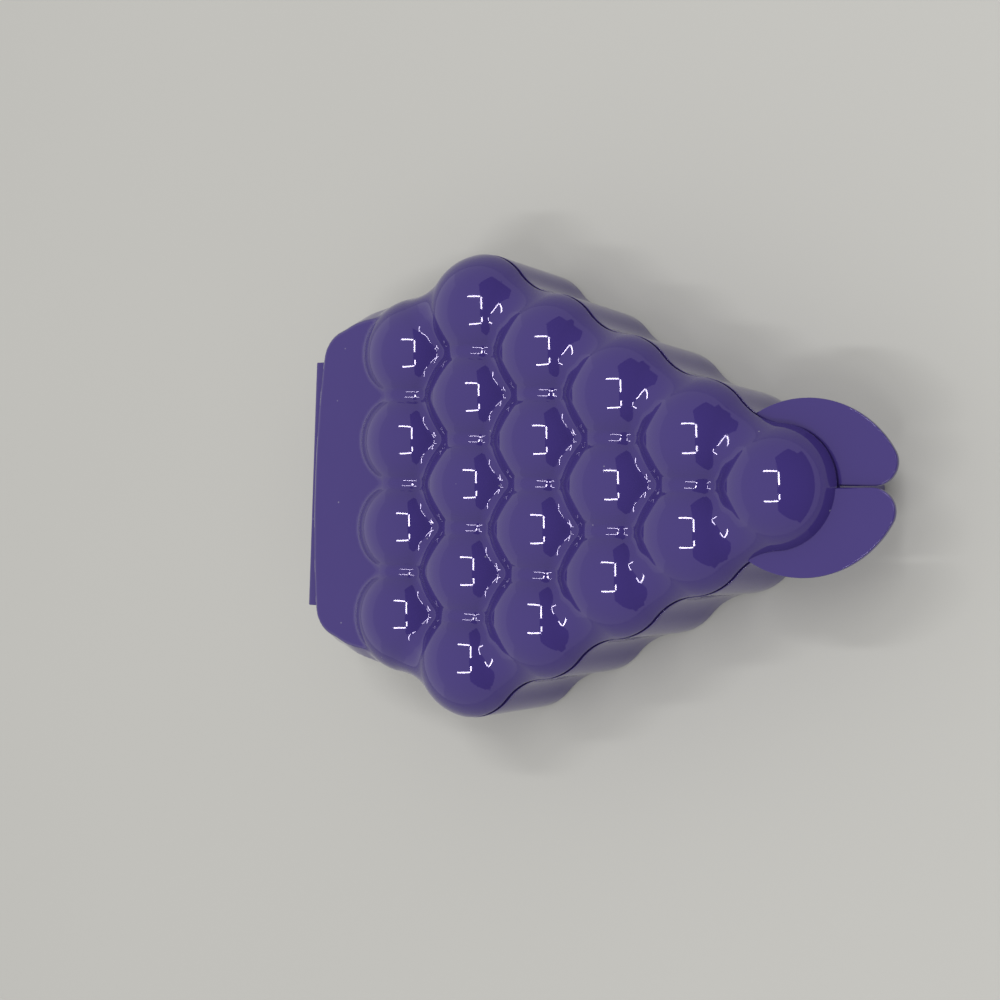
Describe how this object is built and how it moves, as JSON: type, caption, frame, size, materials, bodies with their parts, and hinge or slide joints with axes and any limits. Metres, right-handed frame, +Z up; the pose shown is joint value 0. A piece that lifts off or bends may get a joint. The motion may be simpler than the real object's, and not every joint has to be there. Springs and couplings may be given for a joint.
{
  "type": "grape keeper",
  "caption": "Clamshell keeper shaped like a bunch of grapes, with a domed lid, a scalloped base, a bending back strip and two leaf tabs to open it by.",
  "frame": {"origin": "on the table, under the middle of the closed box, tabs and hinge strip included", "axes": "+Z up, +Y towards the hinge at the wide end, -Y towards the tip with the leaf tabs, +X towards the base's own leaf tab"},
  "size_m": [0.155, 0.214, 0.059],
  "materials": {
    "shell": "glossy moulded purple plastic"
  },
  "bodies": {
    "tub": {"base": "shell", "hinge_web": "shell"},
    "cover": {"lid": "shell"}
  },
  "joints": [
    {"name": "lid_hinge", "type": "hinge", "parent": "tub", "child": "cover", "pos_m": [0, 0.10634, 0.043], "axis": [-1, 0, 0], "range_deg": [0, 180], "deforming": ["hinge_web"]}
  ]
}
